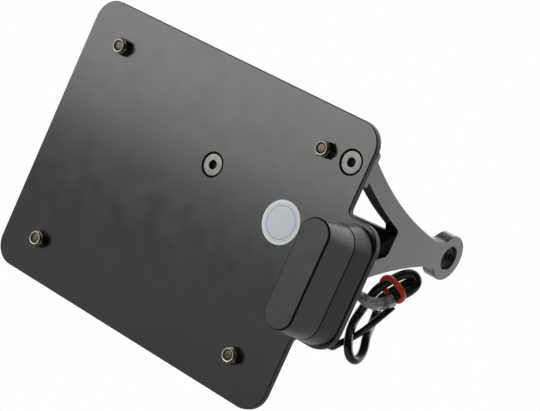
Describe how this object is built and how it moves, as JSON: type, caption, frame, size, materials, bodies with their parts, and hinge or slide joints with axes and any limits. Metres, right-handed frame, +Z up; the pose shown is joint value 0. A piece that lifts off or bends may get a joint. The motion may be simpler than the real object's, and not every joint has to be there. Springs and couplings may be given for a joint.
{
  "type": "licence plate holder",
  "caption": "Side-mounted motorbike licence plate holder: a flat black carrier with a lamp tab, a grey arm with an eye, a small lamp with leads, screws and nuts.",
  "frame": {"origin": "centre of the eye's bore in the support arm", "axes": "+X along the bore, away from the carrier plate's middle; +Y from the number plate's face towards the eye; +Z up"},
  "size_m": [0.2236, 0.1655, 0.15],
  "materials": {
    "black_coat": "satin",
    "grey_anodised": "satin",
    "label_film": "matte",
    "soft_rubber": "matte",
    "lamp_plastic": "satin",
    "clear_lens": "clear",
    "board_green": "satin",
    "led_white": "gloss",
    "lead_sleeve": "gloss",
    "red_rubber": "satin",
    "zinc_steel": "satin",
    "brass_zinc": "satin",
    "nylon": "satin"
  },
  "bodies": {
    "root": {"arm_screw_inner": "zinc_steel", "arm_screw_lower": "zinc_steel", "arm_screw_upper": "zinc_steel", "carrier_plate": "black_coat", "inner_lead": "lead_sleeve", "inner_wire": "lead_sleeve", "lamp_base": "lamp_plastic", "lamp_board": "board_green", "lamp_cover": "lamp_plastic", "lamp_gasket": "soft_rubber", "lamp_lead": "lead_sleeve", "lamp_leds": "led_white", "lamp_lens": "clear_lens", "lamp_screw_lower": "zinc_steel", "lamp_screw_upper": "zinc_steel", "lamp_washer_lower": "zinc_steel", "lamp_washer_upper": "zinc_steel", "lamp_wire": "lead_sleeve", "lead_grommet": "soft_rubber", "lock_nut_lower_left": "brass_zinc", "lock_nut_lower_right": "brass_zinc", "lock_nut_upper_left": "brass_zinc", "lock_nut_upper_right": "brass_zinc", "nut_insert_lower_left": "nylon", "nut_insert_lower_right": "nylon", "nut_insert_upper_left": "nylon", "nut_insert_upper_right": "nylon", "red_band": "red_rubber", "round_label": "label_film", "stud_screw_lower_left": "brass_zinc", "stud_screw_lower_right": "brass_zinc", "stud_screw_upper_left": "brass_zinc", "stud_screw_upper_right": "brass_zinc", "support_arm": "grey_anodised"}
  },
  "joints": []
}
